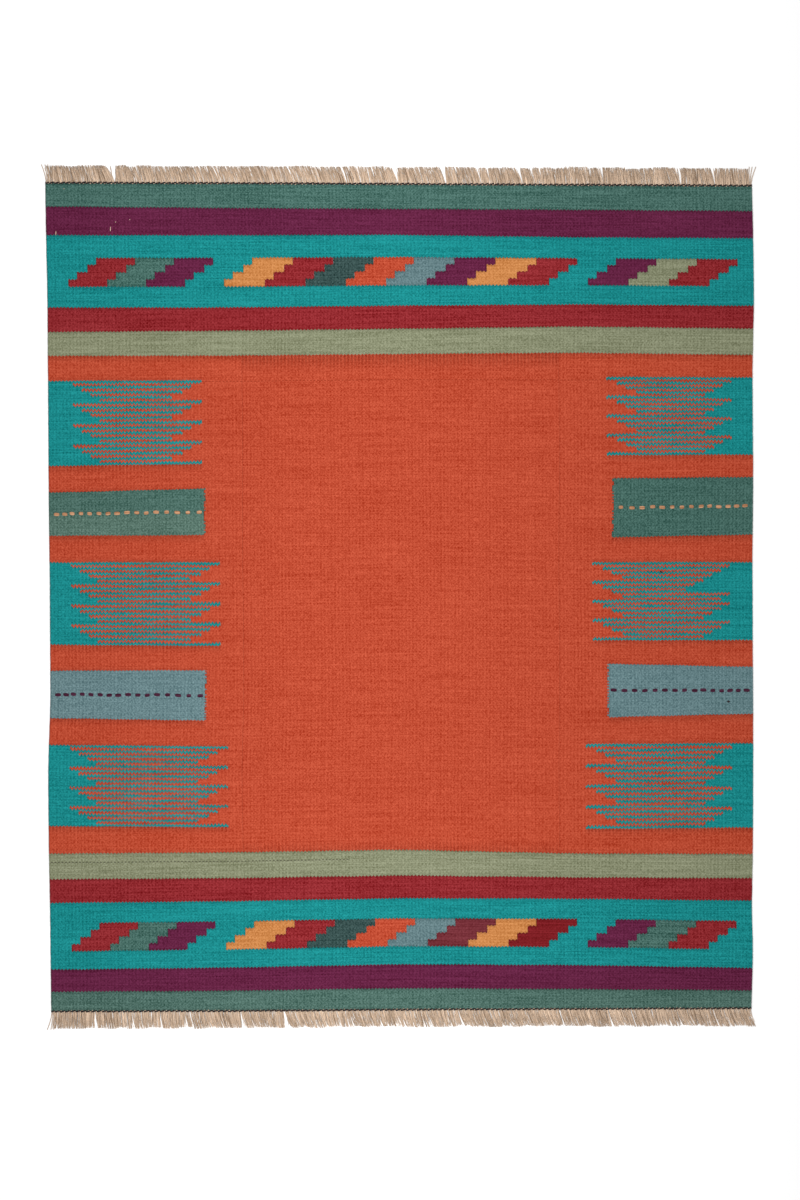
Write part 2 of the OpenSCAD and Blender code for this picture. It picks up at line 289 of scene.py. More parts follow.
def place(u, v):
    """Cloth place to rug place. u counts warps from the left selvedge and v is a line's straight y.
    x runs evenly from one selvedge to the other, plus a slow sine bow that is nothing at both. y is
    v, less the push of the five stations blended across, plus two sine waves whose length, 24 to
    70 warps and 9 to 18, and start belong to that line of weft."""
    across = u / WARPS
    bow = np.sin(u / 29 + v / 230) * np.sin(v / 120 + 1) * across * (1 - across) * BOW
    x = np.interp(v, LINE_Y, left_edge) * (1 - across) + np.interp(v, LINE_Y, right_edge) * across
    push = sum(
        np.interp(u, LINE_U, weight) * np.interp(v, LINE_Y, table)
        for weight, table in zip(station_weights, push_tables)
    )
    size = WAVE_IN_BANDS + MORE_WAVE_IN_COMBS * in_a_comb(u, v)
    wave = LONG_WAVE * np.sin(2 * np.pi * (u / (24 + 46 * chance(v, 1)) + chance(v, 2)))
    wave += SHORT_WAVE * np.sin(2 * np.pi * (u / (9 + 9 * chance(v, 3)) + chance(v, 4)))
    return x + bow, v - push + size * wave


def lift(x, y):
    """How far the cloth stands off the floor: one slow wave each way, never below 0."""
    return LIFT * (1 + np.sin(x / 130 + y / 310) * np.sin(y / 150 - x / 400 + 1))


def woven_shell(lines, cover, first=0, joined=()):
    """One closed piece of weft-faced cloth, as vertices, faces, cloth coordinates and which faces
    are smooth. lines are the y of its rows' edges from the head down, and cover says which warps
    each row covers, counted from warp line first. The top has a column of points on each warp
    line and each warp, raised on the warps. The underside has one face a row and warp. Walls
    close the outline. Where the cover changes from one row to the next, the points on the warps
    move up and down in turn as teeth, all lines in step inside a comb. Where it changes sideways,
    a slit is left, except on the warp lines of joined, where the next shell goes on level with
    this one."""
    rows, warps = cover.shape
    column = np.arange(2 * warps + 1)
    u, v = np.meshgrid(first + column / 2, lines)
    on_warp = np.broadcast_to(column % 2 == 1, u.shape)
    ringed = np.zeros((rows + 2, warps + 2), bool)
    ringed[1:-1, 1:-1] = cover
    left, right = (column + 1) // 2, column // 2 + 1
    above_left, above_right = ringed[:-1][:, left], ringed[:-1][:, right]
    below_left, below_right = ringed[1:][:, left], ringed[1:][:, right]
    used = above_left | above_right | below_left | below_right
    seam = (above_left != below_left) | (above_right != below_right)
    slit = (above_left == below_left) & (above_right == below_right) & (above_left != above_right)
    selvedge = (u == 0) | (u == WARPS)
    join = np.isin(u, joined)
    slit &= ~join

    x, y = place(u, v)
    comb = in_a_comb(u, v)
    height = -np.diff(lines)
    room = TOOTH_SHARE * np.minimum(np.append(height, height[-1]), np.append(height[0], height))[:, None]
    uneven = 1 + COMB_TOOTH_UNEVEN * np.sin(u / 6 + 20 * chance(v, 8))
    phase = np.where((chance(v, 5) < 0.5) | (in_a_comb(u, v, 0.5) > 0.5), 1, -1)
    tooth = np.where(comb > 0.5, COMB_TOOTH * uneven, np.minimum(TOOTH, room) * phase)
    y = y + np.where(seam & on_warp, tooth * np.where(np.floor(u) % 2 == 0, 1, -1), 0)
    x = x + np.where(slit & ~selvedge, np.where(above_right, SLIT_HALF, -SLIT_HALF), 0)
    x = x + np.where(selvedge, SELVEDGE_UNEVEN * (chance(v + 3 * u, 6) - 0.5), 0)
    stand = lift(x, y)
    z = CLOTH_T + np.where(on_warp, RIB_TOP, RIB_VALLEY) + stand
    z = z + np.where(seam, SEAM_DIP, TOP_UNEVEN * (chance(v + 7.31 * u, 7) - 0.5))
    z = z + np.where(slit, SLIT_DIP, 0)
    z = np.where(selvedge, SELVEDGE_TOP + stand, z)
    z = np.where(join, CLOTH_T + RIB_TOP + stand, z)
    foot = np.where(selvedge, SELVEDGE_FOOT, 0) + stand

    even = ~on_warp
    top_id = np.cumsum(used.ravel()).reshape(used.shape) - 1
    under = used & even
    under_id = np.cumsum(under.ravel()).reshape(under.shape) - 1 + used.sum()
    points = np.concatenate(
        [np.stack([x, y, z], -1)[used], np.stack([x, y, foot], -1)[under]]
    )
    cloth = np.concatenate([np.stack([u, v / COURSE], -1)[m] for m in (used, under)])

    row, half = np.nonzero(np.repeat(cover, 2, axis=1))
    top = [top_id[row, half], top_id[row + 1, half], top_id[row + 1, half + 1], top_id[row, half + 1]]
    row, warp = np.nonzero(cover)
    c = 2 * warp
    base = [under_id[row, c], under_id[row, c + 2], under_id[row + 1, c + 2], under_id[row + 1, c]]
    quads = [np.stack(top, 1), np.stack(base, 1)]
    walls = []
    for is_head in (True, False):
        over, under_row = ringed[:-1, 1:-1], ringed[1:, 1:-1]
        line, warp = np.nonzero(under_row & ~over if is_head else over & ~under_row)
        c = 2 * warp
        wall = [
            top_id[line, c], top_id[line, c + 1], top_id[line, c + 2],
            under_id[line, c + 2], under_id[line, c],
        ]
        walls.append(np.stack(wall if is_head else wall[::-1], 1))
    for is_left in (True, False):
        before, after = ringed[1:-1, :-1], ringed[1:-1, 1:]
        row, warp = np.nonzero(after & ~before if is_left else before & ~after)
        c = 2 * warp
        wall = [top_id[row + 1, c], top_id[row, c], under_id[row, c], under_id[row + 1, c]]
        quads.append(np.stack(wall if is_left else wall[::-1], 1))
    smooth = np.concatenate([
        np.ones(len(quads[0]), bool),
        np.zeros(sum(len(q) for q in quads[1:]) + sum(len(w) for w in walls), bool),
    ])
    return points, quads + walls, cloth, smooth


def new_piece(name, points, faces, material, smooth=True):
    """A mesh object from points in millimetres and blocks of faces, each an array of corners."""
    mesh = bpy.data.meshes.new(name)
    mesh.from_pydata((points / 1000).tolist(), [], [f for block in faces for f in block.tolist()])
    mesh.polygons.foreach_set("use_smooth", np.broadcast_to(smooth, len(mesh.polygons)))
    mesh.materials.append(material)
    mesh.update()
    piece = bpy.data.objects.new(name, mesh)
    bpy.context.scene.collection.objects.link(piece)
    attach(piece, "root")
    return piece


def weft_piece(name, node, material, shells):
    """One piece of weft made of closed shells. It carries its cloth coordinates as a UV map:
    warps across, and courses of weft down the rug."""
    start, points, faces, cloth, smooth = 0, [], [], [], []
    for shell in shells:
        points.append(shell[0])
        faces += [block + start for block in shell[1]]
        cloth.append(shell[2])
        smooth.append(shell[3])
        start += len(shell[0])
    piece = new_piece(name, np.concatenate(points), faces, material, np.concatenate(smooth))
    corner = np.empty(len(piece.data.loops), np.int32)
    piece.data.loops.foreach_get("vertex_index", corner)
    layer = piece.data.uv_layers.new(name="cloth")
    layer.data.foreach_set("uv", np.concatenate(cloth)[corner].ravel())
    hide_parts(node)
    return piece


def covered_area(lines, cover):
    """Flat area in square metres of the warps that the rows cover."""
    return float((-np.diff(lines) * cover.sum(1)).sum() * WARP_PITCH * 1e-6)


def even_lines(top, foot, step):
    """Row edges from top to foot, both included, about step apart."""
    return np.linspace(top, foot, max(2, int(round((top - foot) / step)) + 1))


# Plant- and mineral-dyed hand-spun wool, woven tight: matt, each float of yarn a little lighter or
# darker than the next, with faint streaks where the dye or the spinning changed. SHADE is how far its
# darkest and lightest yarn lie from its colour, and the rest are the weights of what changes it. The
# wave's weight is painted light and shade: the middle of each float is painted lighter and its ends
# darker, as light falls on its dome.
SHADE = 26
FLECK = 0.44
FLOAT_DOME_SHADE = 0.30
STREAK = 1.15
CLOUD = 0.3
WARP_TONE = 0.05
OTHER_WARP = 0.09


def shade(hex_colour, amount):
    """The colour with the same amount added to red, green and blue."""
    parts = [int(hex_colour[i : i + 2], 16) for i in (1, 3, 5)]
    return "#" + "".join("%02x" % int(min(255, max(0, p + amount))) for p in parts)


def wool(name, hex_colour, grain=1.0, streaks=1.0, other=None, other_below=0.0, pick=None):
    """Wool weft. Its lightness is a sum of: a random value for each fleck, a wave along each warp that
    is painted light and shade on the dome of each float, lighter in its middle and darker at its ends,
    streaks along the weft, broad clouds, a random value for each warp and a step from each warp to the
    next. other is a second batch of yarn, used below the line other_below. pick is one dark line on
    alternate warps: its line, its last warp and its colour. In the sage band it is a dark pick of yarn,
    and in the field it is painted shade along a crease."""
    material = bpy.data.materials.new(name)
    tree = new_tree(material)
    cloth = add_node(tree, "ShaderNodeUVMap", uv_map="cloth").outputs["UV"]
    parts = add_node(tree, "ShaderNodeSeparateXYZ", {"Vector": cloth})
    u, v = parts.outputs["X"], parts.outputs["Y"]
    warp = add_node(tree, "ShaderNodeMath", {0: u}, operation="FLOOR").outputs[0]
    # Each group of picks, about 8.5 mm high and half a group apart on neighbouring warps, is painted
    # lighter in its middle and darker at its ends: painted light and shade on the dome of the float, and
    # the same wave also raises the bump below. Single picks are about 1.5 mm, too fine to show.
    half = add_node(tree, "ShaderNodeMath", {0: warp, 1: 0.5}, operation="MULTIPLY").outputs[0]
    course = add_node(tree, "ShaderNodeMath", {0: v, 1: half}, operation="ADD").outputs[0]
    wave = add_node(tree, "ShaderNodeMath", {0: course, 1: 0.5}, operation="PINGPONG").outputs[0]
    # Flecks where the hand-spun yarn is thick or thin: half a warp wide and 2.1 mm high.
    fleck_at = add_node(
        tree, "ShaderNodeVectorMath", {0: cloth, 1: (2, 4, 1)}, operation="MULTIPLY"
    ).outputs[0]
    fleck_cell = add_node(
        tree, "ShaderNodeVectorMath", {0: fleck_at}, operation="FLOOR"
    ).outputs[0]
    fleck = add_node(
        tree, "ShaderNodeTexWhiteNoise", {"Vector": fleck_cell}, noise_dimensions="2D"
    ).outputs["Value"]
    warp_tone = add_node(
        tree, "ShaderNodeTexWhiteNoise", {"W": warp}, noise_dimensions="1D"
    ).outputs["Value"]
    other_warp = add_node(
        tree, "ShaderNodeMath", {0: warp, 1: 2.0}, operation="FLOORED_MODULO"
    ).outputs[0]
    # Streaks are about 180 mm long and 3.5 mm high, and clouds about 350 by 60 mm.
    streak_at = add_node(
        tree, "ShaderNodeVectorMath", {0: cloth, 1: (0.024, 2.4, 1)}, operation="MULTIPLY"
    ).outputs[0]
    streak = add_node(
        tree, "ShaderNodeTexNoise", {"Vector": streak_at, "Scale": 1.0, "Detail": 3.0}
    ).outputs["Fac"]
    cloud_at = add_node(
        tree, "ShaderNodeVectorMath", {0: cloth, 1: (0.012, 0.14, 1)}, operation="MULTIPLY"
    ).outputs[0]
    cloud = add_node(
        tree, "ShaderNodeTexNoise", {"Vector": cloud_at, "Scale": 1.0, "Detail": 3.0}
    ).outputs["Fac"]
    tone = None
    for source, middle, weight in (
        # The wave term is painted light and shade on the dome of each float.
        (fleck, 0.5, FLECK * grain), (wave, 0.25, FLOAT_DOME_SHADE * grain), (streak, 0.5, STREAK * streaks),
        (cloud, 0.5, CLOUD * streaks), (warp_tone, 0.5, WARP_TONE * grain),
        (other_warp, 0.5, OTHER_WARP * grain),
    ):
        offset = add_node(
            tree, "ShaderNodeMath", {0: source, 1: middle}, operation="SUBTRACT"
        ).outputs[0]
        tone = add_node(
            tree,
            "ShaderNodeMath",
            {0: offset, 1: weight, 2: 0.5 if tone is None else tone},
            operation="MULTIPLY_ADD",
        ).outputs[0]
    batches = [
        add_node(
            tree,
            "ShaderNodeMix",
            {0: tone, 6: linear(shade(dye, -SHADE)), 7: linear(shade(dye, SHADE))},
            data_type="RGBA",
        ).outputs[2]
        for dye in (hex_colour, other)
        if dye
    ]
    colour = batches[0]
    if other:
        second = add_node(
            tree,
            "ShaderNodeMapRange",
            {"Value": v, "From Min": other_below / COURSE + 0.5, "From Max": other_below / COURSE - 1},
        ).outputs["Result"]
        colour = add_node(
            tree, "ShaderNodeMix", {0: second, 6: colour, 7: batches[1]}, data_type="RGBA"
        ).outputs[2]
    # A dark line on alternate warps: a dark pick of yarn in the sage band, and painted shade along a
    # crease in the field.
    if pick:
        line, last_warp, pick_colour = pick
        near = add_node(
            tree, "ShaderNodeMath", {0: v, 1: line / COURSE, 2: 0.13}, operation="COMPARE"
        ).outputs[0]
        before = add_node(
            tree, "ShaderNodeMath", {0: u, 1: last_warp}, operation="LESS_THAN"
        ).outputs[0]
        in_reach = add_node(
            tree, "ShaderNodeMath", {0: near, 1: before}, operation="MULTIPLY"
        ).outputs[0]
        shown = add_node(
            tree, "ShaderNodeMath", {0: in_reach, 1: other_warp}, operation="MULTIPLY"
        ).outputs[0]
        colour = add_node(
            tree, "ShaderNodeMix", {0: shown, 6: colour, 7: linear(pick_colour)}, data_type="RGBA"
        ).outputs[2]
    fibre = add_node(
        tree,
        "ShaderNodeTexNoise",
        {
            "Vector": add_node(tree, "ShaderNodeTexCoord").outputs["Object"],
            "Scale": 900.0,
            "Detail": 2.0,
        },
    ).outputs["Fac"]
    height = add_node(
        tree, "ShaderNodeMath", {0: wave, 1: 0.8, 2: fibre}, operation="MULTIPLY_ADD"
    ).outputs[0]
    bump = add_node(
        tree, "ShaderNodeBump", {"Height": height, "Strength": 0.5, "Distance": 0.0005}
    ).outputs["Normal"]
    shader = add_node(
        tree,
        "ShaderNodeBsdfPrincipled",
        {
            "Base Color": colour,
            "Roughness": 0.92,
            "Specular IOR Level": 0.06,
            "Sheen Weight": 0.02,
            "Sheen Roughness": 0.6,
            "Normal": bump,
        },
    )
    add_node(tree, "ShaderNodeOutputMaterial", {"Surface": shader.outputs["BSDF"]})
    return material


HEAD_GREEN = "#3b5f57"
FOOT_GREEN = "#426158"
PURPLE = "#571235"
TURQUOISE = "#067b7c"
RED = "#801a1f"
SAGE = "#7a7e63"
SAGE_PICK = (node_lines("foot_sage_band")[0] - 21, 171, "#4c4a3c")

head_green = wool("green_wool_weft", HEAD_GREEN, 1.7, 1.15)
foot_green = wool("light_green_wool_weft", FOOT_GREEN, 1.7, 1.0)
purple = wool("purple_wool_weft", PURPLE, 1.05, 0.8)
turquoise = wool("turquoise_wool_weft", TURQUOISE, 1.4, 1.0)
red = wool("red_wool_weft", RED, 1.4, 1.0)
sage = wool("sage_wool_weft", SAGE, 1.4, 1.0)
picked_sage = wool("sage_wool_weft_with_a_dark_pick", SAGE, 1.4, 1.0, pick=SAGE_PICK)

end_bands = {}
for node, slot, material in (
    ("head_green_band", "green_wool", head_green),
    ("head_purple_band", "purple_wool", purple),
    ("head_red_band", "red_wool", red),
    ("head_sage_band", "sage_wool", sage),
    ("foot_sage_band", "sage_wool", picked_sage),
    ("foot_red_band", "red_wool", red),
    ("foot_purple_band", "purple_wool", purple),
    ("foot_green_band", "green_wool", foot_green),
):
    lines = even_lines(*node_lines(node), BAND_ROW)
    cover = np.ones((len(lines) - 1, WARPS), bool)
    band = weft_piece(node + "_weft", node, material, [woven_shell(lines, cover)])
    if "green" in node:
        end_bands[node] = (band, covered_area(lines, cover))

# ---------------------------------------------------------------------------- stepped blocks
# In each wide turquoise band stands a row of leaning stepped blocks, three, eight and three, woven
# in slit tapestry: each block is its own little piece of weft, and where two colours meet along a
# warp both turn back and leave a slit.
BLOCK_STEPS = 4
BLOCK_LEAN = 16
ROWS_A_STEP = 2
GOLD = "#b9773f"
ORANGE = "#ac3f25"
SLATE = "#567074"
DARK_GREEN = "#2a4240"
MAROON = "#652028"
DARK_RED = "#6f0b12"

gold = wool("gold_wool_weft", GOLD, 1.2)
orange = wool("orange_wool_weft", ORANGE, 1.35, 0.7)
slate = wool("slate_wool_weft", SLATE, 1.4, 0.6)
dark_green = wool("dark_green_wool_weft", DARK_GREEN, 1.4)
maroon = wool("maroon_wool_weft", MAROON, 0.8)
dark_red = wool("dark_red_wool_weft", DARK_RED, 0.8)

BLOCK_KINDS = {
    "red": ("red_wool", red),
    "green": ("green_wool", head_green),
    "purple": ("purple_wool", purple),
    "gold": ("gold_wool", gold),
    "dark_green": ("dark_green_wool", dark_green),
    "orange": ("orange_wool", orange),
    "slate": ("slate_wool", slate),
    "maroon": ("maroon_wool", maroon),
    "dark_red": ("dark_red_wool", dark_red),
    "sage": ("sage_wool", sage),
}
HEAD_BLOCKS = [
    "left_red", "left_green", "left_purple", "middle_gold_1", "middle_red_1",
    "middle_dark_green", "middle_orange", "middle_slate", "middle_purple", "middle_gold_2",
    "middle_red_2", "right_purple", "right_sage", "right_red",
]
FOOT_BLOCKS = [
    "left_red", "left_green", "left_purple", "middle_gold_1", "middle_red",
    "middle_dark_green", "middle_orange", "middle_slate", "middle_maroon", "middle_gold_2",
    "middle_dark_red", "right_purple", "right_green", "right_red",
]


def lean_at(step):
    """Warps by which a step, counted from the foot side, stands to the right of the lowest one."""
    return int(round(step * BLOCK_LEAN / (BLOCK_STEPS - 1)))


def block_cover(width):
    """Which warps each row of a block covers, from the head side down, on a block's own warps."""
    rows = np.zeros((BLOCK_STEPS * ROWS_A_STEP, width + BLOCK_LEAN), bool)
    for row in range(len(rows)):
        lean = lean_at(BLOCK_STEPS - 1 - row // ROWS_A_STEP)
        rows[row, lean : lean + width] = True
    return rows


for end, names in (("head", HEAD_BLOCKS), ("foot", FOOT_BLOCKS)):
    band_node = end + "_turquoise_band"
    band_top, band_foot = node_lines(band_node)
    block_top, block_foot = node_lines(end + "_block_" + names[0])
    block_lines = np.linspace(block_top, block_foot, BLOCK_STEPS * ROWS_A_STEP + 1)
    lines = np.concatenate([
        even_lines(band_top, block_top, BAND_ROW)[:-1],
        block_lines,
        even_lines(block_foot, band_foot, BAND_ROW)[1:],
    ])
    cover = np.ones((len(lines) - 1, WARPS), bool)
    block_row = int(np.argmin(abs(lines - block_top)))
    for name in names:
        node = end + "_block_" + name
        kind = name.split("_", 1)[1].rstrip("_12")
        slot, material = BLOCK_KINDS[kind]
        first, last = node_warps(node)
        own = block_cover(last - first - BLOCK_LEAN)
        block = weft_piece(
            node + "_weft", node, material, [woven_shell(block_lines, own, first)]
        )
        cover[block_row : block_row + len(own), first:last] &= ~own
    band = weft_piece(
        band_node + "_weft", band_node, turquoise, [woven_shell(lines, cover)]
    )

# ---------------------------------------------------------------------------- combs and field
# Five motifs stand on each selvedge: a turquoise comb, a green tab, a comb, a slate tab and a comb.
# A comb's fingers are about four picks high and lie between fingers of the orange field, which
# fills all the rest. The field is one weft, and its mesh is made in three strips that touch.
COMB_ROWS = 33
GROUP = 4
FINGER_STEP = 5.67
ROOT_STEP = 5
# In the second comb on the right the first roots run on past their group of four.
SLIPPED = [0, 1, 2, 3, 4, 5, 0, 1]
COMB_REACH = {"left": (87, 97, 102), "right": (83, 91, 95)}
COMB_ROOT = {"left": (14, 12, 12), "right": (12, 13, 12)}
TAB_ROWS = 40
# Turquoise rows are beaten a little looser than the orange ones between them.
LOOSER = {"left": (0.5, 0.45, 0.1), "right": (0.4, 0.4, 0.2)}
# The field has strips this wide, in warps, beside the selvedges, with rows between the motifs and in its
# middle about so high. Near its head a faint darker line is painted shade along a crease in the cloth,
# drawn like a pick on alternate warps.
STRIP_W = 110
GAP_ROW = 20
MIDDLE_ROW = 48
FIELD_JOINS = (STRIP_W, WARPS - STRIP_W)
# Painted shade: a darker orange line, drawn like a pick on alternate warps, where the field is creased.
FIELD_CREASE_SHADE = (node_lines("orange_field")[0] - 62, WARPS, "#93331d")
field_orange = wool("orange_wool_field_weft", ORANGE, 1.35, 0.7, pick=FIELD_CREASE_SHADE)


def comb_depths(side, number):
    """How many warps each row of a comb covers, from the head down. Even rows are turquoise
    fingers, each a step shorter than the last in groups of four. Odd rows are the roots between
    orange fingers, each a step longer in the same groups."""
    depths = []
    for row in range(COMB_ROWS):
        finger = row // 2
        if row % 2 == 0:
            depths.append(COMB_REACH[side][number] - int(round(finger % GROUP * FINGER_STEP)))
        else:
            slipped = side == "right" and number == 1 and finger < len(SLIPPED)
            place_in_group = SLIPPED[finger] if slipped else finger % GROUP
            depths.append(COMB_ROOT[side][number] + place_in_group * ROOT_STEP)
    return depths


def motif_rows(side, motif):
    """Row edges of a side motif and how many warps each of its rows covers."""
    node = side + "_" + motif
    top, foot = node_lines(node)
    if motif.startswith("comb"):
        number = int(motif[-1]) - 1
        lines = np.linspace(top, foot, COMB_ROWS + 1)
        lines[1:-1] += np.where(np.arange(1, COMB_ROWS) % 2, -1, 1) * LOOSER[side][number]
        return lines, comb_depths(side, number)
    from_warp, to_warp = node_warps(node)
    lines = np.linspace(top, foot, TAB_ROWS + 1)
    turned_back = (np.arange(TAB_ROWS) + (chance(lines[:-1], 14) < 0.2)) % 2
    return lines, [to_warp - from_warp - back for back in turned_back]


def cover_from(side, depths, width, inside=True):
    """Rows of warps counted from one selvedge: those nearer than each depth, or the others."""
    depth = np.arange(width)[None, :] if side == "left" else np.arange(width)[None, ::-1]
    near = depth < np.array(depths)[:, None]
    return near if inside else ~near


field_top, field_foot = node_lines("orange_field")
field_shells = []
for side in ("left", "right"):
    lines, depths = [field_top], []
    for motif in SIDE_MOTIFS:
        rows, row_depths = motif_rows(side, motif)
        gap = even_lines(lines[-1], rows[0], GAP_ROW)[1:]
        depths += [0] * len(gap) + list(row_depths)
        lines += list(gap) + list(rows[1:])
    gap = even_lines(lines[-1], field_foot, GAP_ROW)[1:]
    depths += [0] * len(gap)
    lines = np.array(lines + list(gap))
    cover = cover_from(side, depths, STRIP_W, inside=False)
    first = 0 if side == "left" else WARPS - STRIP_W
    field_shells.append(woven_shell(lines, cover, first, FIELD_JOINS))
lines = even_lines(field_top, field_foot, MIDDLE_ROW)
cover = np.ones((len(lines) - 1, WARPS - 2 * STRIP_W), bool)
field_shells.insert(1, woven_shell(lines, cover, STRIP_W, FIELD_JOINS))
field = weft_piece("orange_field_weft", "orange_field", field_orange, field_shells)

for side in ("left", "right"):
    for motif in ("comb_1", "comb_2", "comb_3"):
        node = side + "_" + motif
        lines, depths = motif_rows(side, motif)
        width = max(depths)
        cover = cover_from(side, depths, width)
        first = 0 if side == "left" else WARPS - width
        comb = weft_piece(
            node + "_weft", node, turquoise, [woven_shell(lines, cover, first)]
        )

# ---------------------------------------------------------------------------- tabs and stitches
# Each tab is a plain rectangle of green or slate weft, whose picks turn back one warp apart at its
# tip. Along its middle an extra yarn of three plies comes to the top every 23 mm and floats over
# three warps. The stitches stand a little closer together toward the selvedge.
STITCH_L = {"peach_stitch": 12.6, "purple_stitch": 14.2}
STITCH_W = 8.8
STITCH_PITCH = 23.0
STITCH_CROWDING = 0.14
STITCH_SUNK = 0.35
STITCH_RISE = 0.75
PLIES = 3
PLY_RING = 8
PLY_RINGS = 7
LEFT_TAB_GREEN = "#3e5f56"
LEFT_TAB_GREEN_LIGHT = "#4c685d"
RIGHT_TAB_GREEN = "#385c54"
LEFT_TAB_SLATE = "#5b767a"
RIGHT_TAB_SLATE = "#597579"


def yarn_material(name, hex_colour, spread, roughness=0.9):
    """Loose wool yarn. Its lightness follows the piece's own tone attribute, from 0 to 1, and a
    fine noise along the fibres."""
    material = bpy.data.materials.new(name)
    tree = new_tree(material)
    tone = add_node(tree, "ShaderNodeAttribute", attribute_name="tone").outputs["Fac"]
    at = add_node(tree, "ShaderNodeTexCoord").outputs["Object"]
    fibre = add_node(
        tree, "ShaderNodeTexNoise", {"Vector": at, "Scale": 420.0, "Detail": 2.0}
    ).outputs["Fac"]
    fibre_tone = add_node(
        tree, "ShaderNodeMath", {0: fibre, 1: 0.5}, operation="SUBTRACT"
    ).outputs[0]
    mixed = add_node(
        tree, "ShaderNodeMath", {0: fibre_tone, 1: 0.5, 2: tone}, operation="MULTIPLY_ADD"
    ).outputs[0]
    colour = add_node(
        tree,
        "ShaderNodeMix",
        {0: mixed, 6: linear(shade(hex_colour, -spread)), 7: linear(shade(hex_colour, spread))},
        data_type="RGBA",
    ).outputs[2]
    bump = add_node(
        tree, "ShaderNodeBump", {"Height": fibre, "Strength": 0.4, "Distance": 0.0004}
    ).outputs["Normal"]
    shader = add_node(
        tree,
        "ShaderNodeBsdfPrincipled",
        {
            "Base Color": colour,
            "Roughness": roughness,
            "Specular IOR Level": 0.08,
            "Sheen Weight": 0.03,
            "Sheen Roughness": 0.6,
            "Normal": bump,
        },
    )
    add_node(tree, "ShaderNodeOutputMaterial", {"Surface": shader.outputs["BSDF"]})
    return material


def tubes(paths, radii, sides, flatness=1.0):
    """Closed yarns: a ring of points carried along each path. A ring lies square to the path, with
    one axis level and the other, times flatness, upright. paths is (yarns, points, 3), and radii
    is (yarns, points)."""
    along = np.gradient(paths, axis=1)
    along /= np.linalg.norm(along, axis=2, keepdims=True)
    level = np.cross(along, (0, 0, 1.0))
    level /= np.linalg.norm(level, axis=2, keepdims=True)
    upright = np.cross(level, along)
    angle = 2 * np.pi * np.arange(sides) / sides
    ring = level[:, :, None] * np.cos(angle)[:, None]
    ring = ring + flatness * upright[:, :, None] * np.sin(angle)[:, None]
    points = paths[:, :, None] + radii[:, :, None, None] * ring
    number = np.arange(points[..., 0].size).reshape(points.shape[:3])
    turned = np.roll(number, -1, axis=2)
    side_faces = np.stack([number[:, :-1], number[:, 1:], turned[:, 1:], turned[:, :-1]], -1)
    caps = np.concatenate([number[:, 0], number[:, -1, ::-1]])
    return points.reshape(-1, 3), [side_faces.reshape(-1, 4), caps]


def tone_points(piece, tones):
    """Stores a lightness from 0 to 1 for each point of a piece."""
    layer = piece.data.attributes.new("tone", "FLOAT", "POINT")
    layer.data.foreach_set("value", np.clip(tones, 0, 1).ravel())


# Peach and purple stitching wool, thicker and softer than the weft, so it catches more light.
peach_yarn = yarn_material("peach_wool_yarn", "#b07f5c", 34)
purple_yarn = yarn_material("purple_wool_yarn", "#3f172d", 18)

for side, motif, slot, material, stitch_slot, stitch_yarn in (
    ("left", "green_tab", "green_wool",
     wool("left_tab_green_wool", LEFT_TAB_GREEN, 1.6, 0.7, LEFT_TAB_GREEN_LIGHT,
          sum(node_lines("left_green_tab")) / 2 - 4),
     "peach_stitch", peach_yarn),
    ("left", "slate_tab", "slate_wool", wool("left_tab_slate_wool", LEFT_TAB_SLATE, 1.5, 0.65),
     "purple_stitch", purple_yarn),
    ("right", "green_tab", "green_wool", wool("right_tab_green_wool", RIGHT_TAB_GREEN, 1.6, 0.7),
     "peach_stitch", peach_yarn),
    ("right", "slate_tab", "slate_wool", wool("right_tab_slate_wool", RIGHT_TAB_SLATE, 1.5, 0.65),
     "purple_stitch", purple_yarn),
):
    node = side + "_" + motif
    lines, depths = motif_rows(side, motif)
    cover = cover_from(side, depths, max(depths))
    first, last = node_warps(node)
    tab = weft_piece(node + "_weft", node, material, [woven_shell(lines, cover, first)])

    rng = np.random.default_rng(len(node) * 7 + first)
    count = int((last - first) * WARP_PITCH / STITCH_PITCH)
    run_l = (count - 1) * STITCH_PITCH / WARP_PITCH
    along = np.linspace(0, 1, count)
    along = along + STITCH_CROWDING * (along**2 - along) + rng.uniform(-0.005, 0.005, count)
    from_selvedge = (last - first - run_l) / 2 + along * run_l
    centre = first + from_selvedge if side == "left" else last - from_selvedge
    half_l = STITCH_L[stitch_slot] / 2 * (1 + rng.uniform(-0.16, 0.16, count)) / WARP_PITCH
    run = np.cos(np.linspace(np.pi, 0, PLY_RINGS))
    u = centre[:, None, None] + half_l[:, None, None] * run + 0 * np.arange(PLIES)[None, :, None]
    middle = (lines[0] + lines[-1]) / 2
    x, y = place(u, np.full(u.shape, middle))
    spread = (np.arange(PLIES) - (PLIES - 1) / 2)[None, :, None]
    belly = (1.02 - run**2) ** 0.35
    tilt = rng.uniform(-0.12, 0.12, count)[:, None, None]
    fanned = spread * STITCH_W / (PLIES + 0.6) * (0.35 + 0.65 * belly)
    y = y + fanned + tilt * run * STITCH_L[stitch_slot] / 2
    y = y + rng.uniform(-0.9, 0.9, count)[:, None, None]
    z = CLOTH_T - STITCH_SUNK + STITCH_RISE * belly - 0.15 * abs(spread)
    paths = np.stack([x, y, z + 0 * x], -1).reshape(-1, PLY_RINGS, 3)
    radii = np.broadcast_to(STITCH_W / PLIES * 0.56 * belly, paths.shape[:2])
    points, faces = tubes(paths, radii, PLY_RING, 0.6)
    stitches = new_piece(node + "_stitch_yarn", points, faces, stitch_yarn)
    tones = rng.uniform(0.2, 0.85, (len(paths), 1)) + 0 * radii
    tone_points(stitches, np.repeat(tones.ravel(), PLY_RING))
    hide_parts(node + "_stitches")

